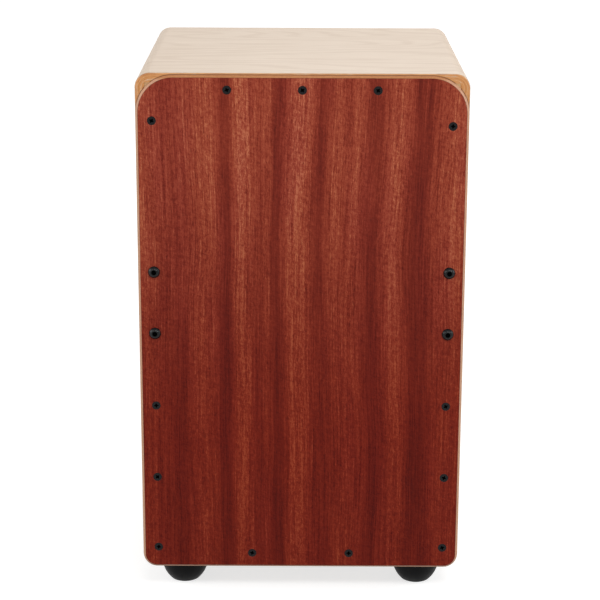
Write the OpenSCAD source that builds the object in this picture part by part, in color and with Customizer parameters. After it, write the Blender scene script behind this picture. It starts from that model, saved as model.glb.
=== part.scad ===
// String cajon: a birch box drum with a thin screwed front plate, a round sound hole in the back,
// four rubber feet, and inside it two tunable pairs of steel strings that buzz on the front plate.
// Origin on the floor under the middle of the box. +X is right, +Y is back, +Z is up. Millimetres.

/* [Body] */
// Width of the box
body_w = 300; // [270:1:330]
// Depth of the box, from the front plate's face to the rear edge of the shell
body_d = 300; // [270:1:330]
// Height of the box without its feet
body_h = 475; // [440:1:510]
// Thickness of the top, bottom and side panels
wall_t = 9; // [8:0.5:12]
// Outer radius of the shell's four long edges
corner_r = 13.5; // [10:0.5:16]

/* [Front plate] */
// Thickness of the front plate
plate_t = 3; // [2.6:0.1:4]
// Radius of the front plate's two top corners
plate_top_r = 34; // [26:1:40]
// Width and depth of the bevel around the front plate
plate_bevel = 2.2; // [1:0.1:2.4]
// How far the front plate's top edge lies below the top of the box
plate_top_drop = 2; // [0:0.5:4]
// How far the front plate's other edges lie inside the outline of the box
plate_side_in = 0.5; // [0:0.1:1.5]

/* [Inner frame] */
// Width of the front and rear frame rails, measured in from the panels
rail_w = 18; // [16:0.5:22]
// Depth of the front and rear frame rails, front to back
rail_d = 18; // [16:0.5:22]
// Leg of the triangular battens that back the four long corner joints
batten_leg = 16; // [12:0.5:20]

/* [Back panel] */
// Thickness of the back panel
back_t = 5; // [4:0.5:6]
// Gap around the back panel inside the shell
back_gap = 0.3; // [0.2:0.1:0.6]
// Radius of the sound hole
hole_r = 60; // [50:1:70]
// Height of the sound hole's centre above the underside of the box
hole_z = 290; // [240:1:330]

/* [Wood screws] */
// Shank radius of the wood screws
screw_r = 1.75; // [1.5:0.05:2]
// Head radius of the countersunk wood screws
screw_head_r = 4.1; // [3.6:0.1:4.4]
// Length of the wood screws in the front plate
plate_screw_len = 18; // [14:1:19]
// Length of the wood screws in the back panel
back_screw_len = 20; // [14:1:21]
// How far the front screws stand in from the panels, inside the rails
screw_in_rail = 6; // [5:0.5:8]
// Spacing of the three screws along the front plate's top edge
top_screw_step = 67.5; // [60:0.5:75]
// Spacing of the two screws along the front plate's bottom edge
bottom_screw_step = 92; // [80:1:110]
// Height of the lowest screw at each side, above the underside of the box
side_screw_z = 21; // [19:0.5:24]
// Spacing of the three lower screws at each side
side_screw_step = 71; // [60:0.5:72]
// Drop of the upper left screw below the top of the box
left_screw_drop = 43; // [38:0.5:60]
// Drop of the upper right screw below the top of the box
right_screw_drop = 47; // [38:0.5:60]

/* [Crossbar] */
// Height of the lower pair of crossbar bolts above the underside of the box
bolt_z = 233.5; // [225:0.5:245]
// Vertical spacing of the crossbar bolts
bolt_step = 58.5; // [50:0.5:66]
// Shank radius of the crossbar bolts
bolt_r = 3; // [2.5:0.1:3.2]
// Radius of the bolts' domed heads
bolt_head_r = 5.4; // [4.8:0.1:6]
// Height of the bolts' domed heads
bolt_head_h = 3.3; // [2.8:0.1:3.6]
// Width across the flats of the bolts' hex sockets
bolt_hex = 4; // [3:0.5:4.5]
// Width across the flats of the nuts behind the crossbar's end plates
nut_hex = 10; // [9:0.5:10.5]
// Height of the nuts
nut_h = 5; // [4:0.5:6]
// Height of the crossbar
bar_h = 30; // [24:1:34]
// Thickness of the crossbar's steel end plates
end_plate_t = 2.5; // [2:0.5:3]
// How far an end plate overlaps the end of the crossbar
end_plate_lap = 26; // [20:1:32]
// Thickness of the felt strip on the crossbar
felt_t = 4; // [3:0.5:5]
// Length of the felt strip
felt_w = 130; // [110:5:180]
// Height of the felt strip
felt_h = 24; // [18:1:24]

/* [Strings] */
// Distance of each string pair from the middle of the box
pair_x = 28; // [22:0.5:30]
// Spacing of the two strings of a pair
string_step = 14; // [13:0.5:18]
// Diameter of a steel string
string_d = 0.9; // [0.7:0.1:1.1]
// Distance of a string's centre behind the front plate
string_back = 1.3; // [1.1:0.1:1.6]
// Diameter and length of the barrel on each end of a string
barrel_d = 3.8; // [3:0.1:4]
// Width of the string anchors and carriages
anchor_w = 26; // [24:1:32]
// Thickness of the bent steel string anchors
anchor_t = 2; // [1.5:0.5:2.5]
// Drop of the anchors' lower leg below the top rail
anchor_drop = 16; // [12:1:24]
// Height of the threaded string carriages
carriage_h = 8; // [6:0.5:10]
// Travel of a carriage from rest down towards the bottom rail
travel_down = 5; // [3:0.5:6]
// Travel of a carriage from rest up to the stop nut
travel_up = 8; // [5:0.5:10]

/* [Tuning screws] */
// Shank radius of the tuning screws
tuner_r = 2.5; // [2.5:0.1:3]
// Radius of the tuning screws' heads
tuner_head_r = 4.25; // [4:0.05:4.6]
// Height of the tuning screws' heads
tuner_head_h = 4; // [3:0.5:5]
// Width across the flats of the tuning screws' sockets
tuner_hex = 4; // [3:0.5:4.5]
// Radius of the key holes through the bottom panel
key_hole_r = 5.5; // [5.3:0.1:6.5]
// Width across the flats of the stop nuts
stop_hex = 8; // [7:0.5:9]
// Height of the stop nuts
stop_h = 4; // [3:0.5:5]
// Thickness of the washers under the tuning screws' heads
tuner_washer_t = 1; // [0.8:0.1:1.4]

/* [Feet] */
// Radius of a rubber foot
foot_r = 22.5; // [20:0.5:25]
// Height of a rubber foot
foot_h = 25; // [20:0.5:30]
// Radius of the flat ring that stands on the floor
foot_flat_r = 13; // [11:0.5:15]
// Height of the foot's straight rim below the box
foot_rim_h = 4; // [2:0.5:6]
// Distance of a foot's centre from the side of the box
foot_in_x = 38; // [32:1:46]
// Distance of a foot's centre from the front and rear of the box
foot_in_y = 36; // [32:1:46]
// Radius of the recess for the foot's screw
foot_bore_r = 6.5; // [6.3:0.1:8]
// Rubber left between the recess and the box
foot_web_t = 8; // [6:0.5:10]
// Length of a foot's screw
foot_screw_len = 16; // [13:0.5:16.5]
// Radius of a foot screw's round head
foot_screw_head_r = 3.9; // [3.4:0.1:4.4]
// Height of a foot screw's round head
foot_screw_head_h = 2.8; // [2:0.1:3.4]
// Outer radius of a foot's washer
foot_washer_r = 6; // [5:0.1:6.2]
// Thickness of a foot's washer
foot_washer_t = 1.2; // [0.8:0.1:1.6]

/* [Fits] */
// Radial clearance of a fixed screw or bolt in its hole
fit = 0.1; // [0.05:0.01:0.2]
// Radial clearance of a tuning screw where it turns
run_fit = 0.08; // [0.05:0.01:0.1]
// Clearance between moving pieces and what they pass
pass_gap = 0.4; // [0.3:0.05:0.6]

/* [Hidden] */

$fn = 64;
LEFT = -1;
RIGHT = 1;
OVER = 1; // how far a cut runs past the solid that it cuts

// Levels, front to back. The box and the bolt heads together are centred on the origin.
front_y = -(body_d + bolt_head_h) / 2 + bolt_head_h;
shell_y = front_y + plate_t;
rear_y = front_y + body_d;
rail_back_y = shell_y + rail_d;
back_y = rear_y - back_t;
rear_rail_y = back_y - rail_d;

// Levels, bottom to top
base_z = foot_h;
floor_z = base_z + wall_t;
top_z = base_z + body_h;
ceil_z = top_z - wall_t;
rail_top_z = floor_z + rail_w;
ceil_rail_z = ceil_z - rail_w;
inner_x = body_w / 2 - wall_t;
rail_x = inner_x - rail_w;
inner_h = body_h - 2 * wall_t;

// Front plate screws and crossbar bolts, as [x, z]
screw_edge = wall_t + screw_in_rail;
screw_x = body_w / 2 - screw_edge;
low_screws = [
  for (side = [LEFT, RIGHT], i = [0 : 2]) [side * screw_x, base_z + side_screw_z + i * side_screw_step]
];
high_screws = [[-screw_x, top_z - left_screw_drop], [screw_x, top_z - right_screw_drop]];
top_screws = [for (i = [-1 : 1]) [i * top_screw_step, top_z - screw_edge]];
bottom_screws = [for (side = [LEFT, RIGHT]) [side * bottom_screw_step / 2, base_z + screw_edge]];
plate_screws = concat(low_screws, high_screws, top_screws, bottom_screws);
bolts = [for (side = [LEFT, RIGHT], i = [0 : 1]) [side * screw_x, base_z + bolt_z + i * bolt_step]];

// Back panel screws, on the middle line of the rear rails, as [x, z]
back_screw_x = inner_x - rail_w / 2;
back_screw_z = floor_z + rail_w / 2;
back_screw_rows = 4;
back_screw_step = (inner_h - rail_w) / back_screw_rows;
back_side_screws = [
  for (side = [LEFT, RIGHT], i = [0 : back_screw_rows])
    [side * back_screw_x, back_screw_z + i * back_screw_step]
];
back_mid_screws = [[0, back_screw_z], [0, ceil_z - rail_w / 2]];
back_screws = concat(back_side_screws, back_mid_screws);

// Crossbar: the strings pass between its felt and the front plate
bar_z = base_z + bolt_z + bolt_step / 2;
felt_y = shell_y + string_back + string_d / 2 + pass_gap;
bar_y = felt_y + felt_t;
end_plate_margin = 9;
end_plate_h = bolt_step + 2 * end_plate_margin;
end_plate_w = rail_w + end_plate_lap;
end_screw_len = 9;
end_screw_step = bar_h / 2;
end_screw_x = rail_x - end_plate_lap / 2;
bolt_tail = 1.5;
bolt_len = plate_t + rail_d + end_plate_t + nut_h + bolt_tail;

// Strings and their tuners
string_y = shell_y + string_back;
notch_w = string_d + 2 * pass_gap;
notch_y = string_y + string_d / 2 + fit;
lip_y = shell_y + pass_gap;
leg_top_z = ceil_rail_z - anchor_drop;
anchor_top_z = ceil_z - 1;
anchor_screw_z = ceil_z - rail_w / 2;
anchor_back_y = rail_back_y + anchor_t;
anchor_screw_len = 10;
anchor_screw_step = anchor_w / 2;
barrel_back = max(0, barrel_d / 2 + pass_gap - string_back); // keeps a barrel off the front plate
carriage_z = rail_top_z + pass_gap + barrel_d + fit + travel_down;
tuner_y = shell_y + rail_d / 2;
tuner_seat_z = floor_z - tuner_washer_t;
stop_z = carriage_z + carriage_h + travel_up + pass_gap;
tuner_end = 1;
tuner_socket = tuner_head_h * 0.6;
tuner_washer_r = tuner_head_r + 0.7;

// Feet
foot_x = body_w / 2 - foot_in_x;
foot_front_y = front_y + foot_in_y;
foot_rear_y = rear_y - foot_in_y;
foot_places = [
  for (x = [-foot_x, foot_x], y = [foot_front_y, foot_rear_y]) [x, y]
];
foot_seat_z = foot_h - foot_web_t;

BIRCH = [0.86, 0.66, 0.42];
PALE_WOOD = [0.87, 0.75, 0.58];
RED_WOOD = [0.52, 0.22, 0.16];
BLACK_STEEL = [0.07, 0.07, 0.08];
STEEL = [0.62, 0.63, 0.65];
BRASS = [0.78, 0.62, 0.3];
FELT = [0.25, 0.26, 0.28];
RUBBER = [0.09, 0.09, 0.1];

// ---- shared shapes ----

// Moves a shape whose axis is +Z into the front face at x, z, pointing back.
module from_front(place, y = front_y) {
  translate([place[0], y, place[1]]) rotate([-90, 0, 0]) children();
}

// Moves a shape whose axis is +Z onto a rear-facing face at x, z, pointing forward.
module from_rear(place, y = rear_y) {
  translate([place[0], y, place[1]]) rotate([90, 0, 0]) children();
}

// Stands a flat outline, drawn in x and z, up as a slab from y0 back to y1.
module slab(y0, y1) {
  translate([0, y1, 0]) rotate([90, 0, 0]) linear_extrude(y1 - y0) children();
}

// A box between two corners
module block(low, high) {
  translate(low) cube(high - low);
}

// The cross recess of a wood screw's head
module cross_recess(r, depth) {
  arm_w = r * 0.22;
  for (turn = [0, 90])
    rotate([0, 0, turn]) translate([-r / 2, -arm_w / 2, -OVER]) cube([r, arm_w, depth + OVER]);
}

// A countersunk wood screw, head at z = 0 and point towards +Z
module wood_screw(length) {
  tip = 2 * screw_r;
  blunt = 0.3;
  difference() {
    rotate_extrude() polygon([
      [0, 0],
      [screw_head_r, 0],
      [screw_r, screw_head_r - screw_r],
      [screw_r, length - tip],
      [blunt, length],
      [0, length]
    ]);
    cross_recess(1.1 * screw_head_r, 0.4 * screw_head_r);
  }
}

// The hole that a countersunk wood screw fills
module wood_screw_hole(length) {
  rotate_extrude() polygon([
    [0, -OVER],
    [screw_head_r + fit + OVER, -OVER],
    [screw_r + fit, screw_head_r - screw_r],
    [screw_r + fit, length + fit],
    [0, length + fit]
  ]);
}

// A straight hole through a stack of pieces
module through_hole(r, length) {
  translate([0, 0, -OVER]) cylinder(h = length + 2 * OVER, r = r);
}

// A round steel washer
module washer(outer_r, inner_r, thickness) {
  difference() {
    cylinder(h = thickness, r = outer_r);
    through_hole(inner_r, thickness);
  }
}

// A hex nut with a round bore
module hex_nut(across, bore_r, height) {
  difference() {
    cylinder(h = height, d = across / cos(30), $fn = 6);
    through_hole(bore_r, height);
  }
}

// ---- shell ----

// The box's front outline
module shell_outline() {
  translate([-body_w / 2, base_z + corner_r]) square([body_w, body_h - 2 * corner_r]);
  translate([-body_w / 2 + corner_r, base_z]) square([body_w - 2 * corner_r, body_h]);
  for (x = [-1, 1] * (body_w / 2 - corner_r), z = [base_z + corner_r, top_z - corner_r])
    translate([x, z]) circle(r = corner_r);
}

// One mitred panel of the shell, kept by the wedge that it fills
module shell_panel(wedge) {
  slab(shell_y, rear_y) difference() {
    intersection() {
      shell_outline();
      polygon(wedge);
    }
    translate([-inner_x, floor_z]) square([2 * inner_x, inner_h]);
  }
}

// The wedge between the mitres of the top panel (out = 1) or the bottom panel (out = -1)
function level_wedge(outer_z, inner_z, out) = [
  [-body_w / 2 - OVER, outer_z + out * OVER],
  [body_w / 2 + OVER, outer_z + out * OVER],
  [inner_x, inner_z],
  [-inner_x, inner_z]
];

// The wedge between the mitres of a side panel
function side_wedge(side) = [
  [side * (body_w / 2 + OVER), base_z - OVER],
  [side * (body_w / 2 + OVER), top_z + OVER],
  [side * inner_x, ceil_z],
  [side * inner_x, floor_z]
];

module top_panel() {
  color(BIRCH) shell_panel(level_wedge(top_z, ceil_z, 1));
}

module bottom_panel() {
  color(BIRCH) difference() {
    shell_panel(level_wedge(base_z, floor_z, -1));
    for (side = [LEFT, RIGHT])
      translate([side * pair_x, tuner_y, base_z]) through_hole(key_hole_r, wall_t);
    for (place = foot_places)
      translate([place[0], place[1], base_z - OVER])
        cylinder(h = foot_seat_z + foot_screw_len - base_z + OVER + fit, r = screw_r + fit);
  }
}

module side_panel(side) {
  color(BIRCH) shell_panel(side_wedge(side));
}

module back_panel() {
  color(BIRCH) difference() {
    block([-inner_x + back_gap, back_y, floor_z + back_gap], [inner_x - back_gap, rear_y, ceil_z - back_gap]);
    from_rear([0, base_z + hole_z]) through_hole(hole_r, back_t);
    for (place = back_screws) from_rear(place) wood_screw_hole(back_screw_len);
  }
}

// ---- front plate ----

module front_plate() {
  flat_t = plate_t - plate_bevel;
  low_x = body_w / 2 - corner_r;
  high_x = body_w / 2 - plate_side_in - plate_top_r;
  high_z = top_z - plate_top_drop - plate_top_r;
  // The corners' centres and radii, as [x, z, radius]
  corners = concat(
    [for (side = [LEFT, RIGHT]) [side * low_x, base_z + corner_r, corner_r - plate_side_in]],
    [for (side = [LEFT, RIGHT]) [side * high_x, high_z, plate_top_r]]
  );
  color(RED_WOOD) difference() {
    hull() for (c = corners) from_front([c[0], c[1]]) {
      cylinder(h = plate_bevel, r1 = c[2] - plate_bevel, r2 = c[2]);
      translate([0, 0, plate_bevel]) cylinder(h = flat_t, r = c[2]);
    }
    for (place = plate_screws) from_front(place) wood_screw_hole(plate_screw_len);
    for (place = bolts) from_front(place) through_hole(bolt_r + fit, plate_t);
  }
}

// ---- inner frame ----

// A rail of the front frame, drilled for every screw and bolt that meets it
module front_rail(low_x, high_x, low_z, high_z) {
  color(PALE_WOOD) difference() {
    block([low_x, shell_y, low_z], [high_x, rail_back_y, high_z]);
    for (place = plate_screws) from_front(place) wood_screw_hole(plate_screw_len);
    for (place = bolts) from_front(place) through_hole(bolt_r + fit, bolt_len);
    for (side = [LEFT, RIGHT])
      translate([side * pair_x, tuner_y, floor_z]) through_hole(tuner_r + run_fit, rail_w);
    at_anchor_screws() wood_screw_hole(anchor_screw_len);
  }
}

// A rail of the rear frame, drilled for every back panel screw that meets it
module rear_rail(low_x, high_x, low_z, high_z) {
  color(PALE_WOOD) difference() {
    block([low_x, rear_rail_y, low_z], [high_x, back_y, high_z]);
    for (place = back_screws) from_rear(place) wood_screw_hole(back_screw_len);
  }
}

// A triangular batten along one long corner joint
module batten(side, corner_z, up) {
  color(PALE_WOOD) slab(rail_back_y, rear_rail_y) polygon([
    [side * inner_x, corner_z],
    [side * (inner_x - batten_leg), corner_z],
    [side * inner_x, corner_z + up * batten_leg]
  ]);
}

// ---- fasteners of the box ----

module front_plate_screws() {
  color(BLACK_STEEL) for (place = plate_screws) from_front(place) wood_screw(plate_screw_len);
}

module back_panel_screws() {
  color(BLACK_STEEL) for (place = back_screws) from_rear(place) wood_screw(back_screw_len);
}

// ---- crossbar ----

// Calls its child at each of the four screws that hold the end plates to the crossbar.
module at_end_screws() {
  for (side = [LEFT, RIGHT], step = [-0.5, 0.5])
    from_rear([side * end_screw_x, bar_z + step * end_screw_step], rail_back_y + end_plate_t) children();
}

module crossbar() {
  color(PALE_WOOD) difference() {
    block([-rail_x, bar_y, bar_z - bar_h / 2], [rail_x, rail_back_y, bar_z + bar_h / 2]);
    at_end_screws() wood_screw_hole(end_screw_len);
  }
}

module crossbar_felt() {
  color(FELT) block([-felt_w / 2, felt_y, bar_z - felt_h / 2], [felt_w / 2, bar_y, bar_z + felt_h / 2]);
}

module end_plate(side) {
  middle_x = side * (inner_x - end_plate_w / 2);
  color(BLACK_STEEL) difference() {
    translate([middle_x, rail_back_y + end_plate_t / 2, bar_z])
      cube([end_plate_w, end_plate_t, end_plate_h], center = true);
    for (place = bolts) from_front(place) through_hole(bolt_r + fit, bolt_len);
    at_end_screws() wood_screw_hole(end_screw_len);
  }
}

module end_plate_screws() {
  color(STEEL) at_end_screws() wood_screw(end_screw_len);
}

// A domed socket-head bolt, underside of the head at z = 0 and shank towards +Z
module button_bolt(length) {
  land = 0.6;
  flat_r = 0.65 * bolt_hex;
  dome_steps = 10;
  dome = [
    for (i = [0 : dome_steps])
      let (a = 90 * i / dome_steps)
        [flat_r + (bolt_head_r - flat_r) * cos(a), -land - (bolt_head_h - land) * sin(a)]
  ];
  profile = concat([[0, length], [bolt_r, length], [bolt_r, 0], [bolt_head_r, 0]], dome, [[0, -bolt_head_h]]);
  difference() {
    rotate_extrude() polygon(profile);
    translate([0, 0, -bolt_head_h - OVER])
      cylinder(h = 0.6 * bolt_head_h + OVER, d = bolt_hex / cos(30), $fn = 6);
  }
}

module crossbar_bolts() {
  color(BLACK_STEEL) for (place = bolts) from_front(place) button_bolt(bolt_len);
}

module crossbar_nuts() {
  color(STEEL) for (place = bolts)
    from_front(place, rail_back_y + end_plate_t) hex_nut(nut_hex, bolt_r + fit, nut_h);
}

// ---- strings ----

// The notches in which the two strings of a pair sit
module string_notches(side, low_z, high_z) {
  for (step = [-0.5, 0.5])
    translate([side * pair_x + step * string_step - notch_w / 2, lip_y - OVER, low_z - OVER])
      cube([notch_w, notch_y - lip_y + OVER, high_z - low_z + 2 * OVER]);
}

// Calls its child at each of the four screws that hold the anchors to the top rail.
module at_anchor_screws() {
  for (side = [LEFT, RIGHT], step = [-0.5, 0.5])
    from_rear([side * pair_x + step * anchor_screw_step, anchor_screw_z], anchor_back_y) children();
}

// A steel angle screwed to the back of the top rail; its lower leg reaches forward to the strings
module string_anchor(side) {
  low_x = side * pair_x - anchor_w / 2;
  high_x = low_x + anchor_w;
  leg_z = leg_top_z - anchor_t;
  color(STEEL) difference() {
    union() {
      block([low_x, rail_back_y, leg_z], [high_x, anchor_back_y, anchor_top_z]);
      block([low_x, lip_y, leg_z], [high_x, anchor_back_y, leg_top_z]);
    }
    string_notches(side, leg_z, leg_top_z);
    at_anchor_screws() wood_screw_hole(anchor_screw_len);
  }
}

module string_anchor_screws() {
  color(STEEL) at_anchor_screws() wood_screw(anchor_screw_len);
}

// Two strings, each with a barrel above the anchor's leg and one under the carriage
module string_pair(side) {
  low_z = carriage_z - fit - barrel_d / 2;
  high_z = leg_top_z + fit + barrel_d / 2;
  color(STEEL) for (step = [-0.5, 0.5])
    translate([side * pair_x + step * string_step, string_y, 0]) {
      translate([0, 0, low_z]) cylinder(h = high_z - low_z, d = string_d, $fn = 16);
      for (z = [low_z, high_z])
        translate([-barrel_d / 2, barrel_back, z])
          rotate([0, 90, 0]) cylinder(h = barrel_d, d = barrel_d, $fn = 24);
    }
}

// A brass block that the tuning screw draws up or down, with the strings in its front edge
module carriage(side) {
  low_x = side * pair_x - anchor_w / 2;
  color(BRASS) difference() {
    block([low_x, lip_y, carriage_z], [low_x + anchor_w, rail_back_y, carriage_z + carriage_h]);
    string_notches(side, carriage_z, carriage_z + carriage_h);
    translate([side * pair_x, tuner_y, carriage_z]) through_hole(tuner_r + run_fit, carriage_h);
  }
}

// A socket-head screw that stands up through the bottom panel and rail into its carriage
module tuning_screw(side) {
  color(BLACK_STEEL) translate([side * pair_x, tuner_y, tuner_seat_z]) difference() {
    union() {
      translate([0, 0, -tuner_head_h]) cylinder(h = tuner_head_h, r = tuner_head_r);
      translate([0, 0, -OVER]) cylinder(h = stop_z + stop_h + tuner_end - tuner_seat_z + OVER, r = tuner_r);
    }
    translate([0, 0, -tuner_head_h - OVER])
      cylinder(h = tuner_socket + OVER, d = tuner_hex / cos(30), $fn = 6);
  }
}

module tuning_screw_washers() {
  color(STEEL) for (side = [LEFT, RIGHT])
    translate([side * pair_x, tuner_y, tuner_seat_z])
      washer(tuner_washer_r, tuner_r + run_fit, tuner_washer_t);
}

module stop_nut(side) {
  color(STEEL) translate([side * pair_x, tuner_y, stop_z]) hex_nut(stop_hex, tuner_r + fit, stop_h);
}

// ---- feet ----

// A domed rubber foot: a straight rim under the box, then an arc down to the flat ring
module foot(x, y) {
  dome_h = foot_h - foot_rim_h;
  inset = foot_r - foot_flat_r;
  dome_r = (pow(inset, 2) + pow(dome_h, 2)) / (2 * inset);
  sweep = asin(dome_h / dome_r);
  dome_steps = 14;
  dome = [
    for (i = [0 : dome_steps])
      let (a = sweep * i / dome_steps)
        [foot_r - dome_r + dome_r * cos(a), dome_h - dome_r * sin(a)]
  ];
  color(RUBBER) translate([x, y, 0]) difference() {
    rotate_extrude() polygon(concat([[0, 0], [0, foot_h], [foot_r, foot_h]], dome));
    translate([0, 0, -OVER]) cylinder(h = foot_seat_z + OVER, r = foot_bore_r);
    through_hole(screw_r + fit, foot_h);
  }
}

module foot_screws() {
  color(STEEL) for (place = foot_places)
    translate([place[0], place[1], foot_seat_z - foot_washer_t]) {
      difference() {
        translate([0, 0, -foot_screw_head_h]) cylinder(h = foot_screw_head_h, r = foot_screw_head_r);
        translate([0, 0, -foot_screw_head_h]) cross_recess(foot_screw_head_r * 1.1, foot_screw_head_h / 2);
      }
      cylinder(h = foot_washer_t + foot_screw_len, r = screw_r);
    }
}

module foot_washers() {
  color(STEEL) for (place = foot_places)
    translate([place[0], place[1], foot_seat_z - foot_washer_t])
      washer(foot_washer_r, screw_r + fit, foot_washer_t);
}

// ---- the parts ----

front_plate();
top_panel();
bottom_panel();
side_panel(LEFT);  // left_panel
side_panel(RIGHT);  // right_panel
back_panel();
front_rail(-inner_x, inner_x, ceil_rail_z, ceil_z);  // front_rail_top
front_rail(-inner_x, inner_x, floor_z, rail_top_z);  // front_rail_bottom
front_rail(-inner_x, -rail_x, rail_top_z, ceil_rail_z);  // front_rail_left
front_rail(rail_x, inner_x, rail_top_z, ceil_rail_z);  // front_rail_right
rear_rail(-inner_x, inner_x, ceil_rail_z, ceil_z);  // rear_rail_top
rear_rail(-inner_x, inner_x, floor_z, rail_top_z);  // rear_rail_bottom
rear_rail(-inner_x, -rail_x, rail_top_z, ceil_rail_z);  // rear_rail_left
rear_rail(rail_x, inner_x, rail_top_z, ceil_rail_z);  // rear_rail_right
batten(LEFT, ceil_z, -1);  // batten_top_left
batten(RIGHT, ceil_z, -1);  // batten_top_right
batten(LEFT, floor_z, 1);  // batten_bottom_left
batten(RIGHT, floor_z, 1);  // batten_bottom_right
front_plate_screws();
back_panel_screws();
crossbar();
crossbar_felt();
end_plate(LEFT);  // end_plate_left
end_plate(RIGHT);  // end_plate_right
end_plate_screws();
crossbar_bolts();
crossbar_nuts();
string_anchor(LEFT);  // string_anchor_left
string_anchor(RIGHT);  // string_anchor_right
string_anchor_screws();
string_pair(LEFT);  // strings_left
string_pair(RIGHT);  // strings_right
carriage(LEFT);  // carriage_left
carriage(RIGHT);  // carriage_right
tuning_screw(LEFT);  // tuning_screw_left
tuning_screw(RIGHT);  // tuning_screw_right
stop_nut(LEFT);  // stop_nut_left
stop_nut(RIGHT);  // stop_nut_right
tuning_screw_washers();
foot(-foot_x, foot_front_y);  // foot_front_left
foot(foot_x, foot_front_y);  // foot_front_right
foot(-foot_x, foot_rear_y);  // foot_rear_left
foot(foot_x, foot_rear_y);  // foot_rear_right
foot_screws();
foot_washers();
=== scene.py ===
"""Looks of the string cajon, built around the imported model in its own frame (metres, +Z up, -Y front)."""

import math

import bmesh
import bpy
from mathutils import Matrix, Vector


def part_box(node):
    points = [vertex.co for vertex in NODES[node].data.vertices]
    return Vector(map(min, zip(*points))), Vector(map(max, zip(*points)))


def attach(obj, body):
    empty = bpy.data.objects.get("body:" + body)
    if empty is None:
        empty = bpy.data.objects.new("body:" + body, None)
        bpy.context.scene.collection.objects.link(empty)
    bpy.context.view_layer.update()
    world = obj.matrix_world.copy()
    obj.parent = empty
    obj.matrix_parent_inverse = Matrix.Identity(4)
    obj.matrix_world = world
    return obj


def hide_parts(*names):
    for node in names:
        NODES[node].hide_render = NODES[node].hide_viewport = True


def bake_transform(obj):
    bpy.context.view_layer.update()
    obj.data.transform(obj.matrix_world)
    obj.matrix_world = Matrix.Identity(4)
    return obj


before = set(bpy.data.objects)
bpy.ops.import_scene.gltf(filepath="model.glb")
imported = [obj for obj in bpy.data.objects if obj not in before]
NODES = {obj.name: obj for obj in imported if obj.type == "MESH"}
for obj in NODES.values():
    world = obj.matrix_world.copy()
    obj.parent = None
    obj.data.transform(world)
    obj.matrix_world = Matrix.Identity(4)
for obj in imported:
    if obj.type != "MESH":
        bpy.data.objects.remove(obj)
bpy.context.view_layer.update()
CABINET = "cabinet"
MM = 0.001

# ---------------------------------------------------------------- sizes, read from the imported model


def low(node):
    """Low corner of a CAD node's box."""
    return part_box(node)[0]


def high(node):
    """High corner of a CAD node's box."""
    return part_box(node)[1]


HALF_W = high("right_panel").x
TOP_Z, BASE_Z = high("top_panel").z, low("bottom_panel").z
SHELL_Y, REAR_Y = low("top_panel").y, high("top_panel").y
INNER_X = high("back_panel").x + 0.3 * MM
CEIL_Z = high("front_rail_top").z
FLOOR_Z = low("front_rail_bottom").z
FRONT_Y = low("front_plate").y
PLATE_HALF_W = high("front_plate").x
PLATE_TOP_Z, PLATE_LOW_Z = high("front_plate").z, low("front_plate").z
CORNER_R = 13.5 * MM
PLATE_TOP_R = 34 * MM
PLATE_BEVEL = 2.2 * MM
HOLE_R = 60 * MM
HOLE_Z = BASE_Z + 290 * MM
FRONT_DEPTH = Matrix.Rotation(math.radians(-90), 4, "X")   # +Z of a fastener points back
REAR_DEPTH = Matrix.Rotation(math.radians(90), 4, "X")     # +Z of a fastener points forward

# ---------------------------------------------------------------- material graphs


def rgb(r, g, b):
    """A display colour, 0 to 255, as linear RGBA."""
    def lin(v):
        v /= 255
        return v / 12.92 if v <= 0.04045 else ((v + 0.055) / 1.055) ** 2.4
    return (lin(r), lin(g), lin(b), 1.0)


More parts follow.
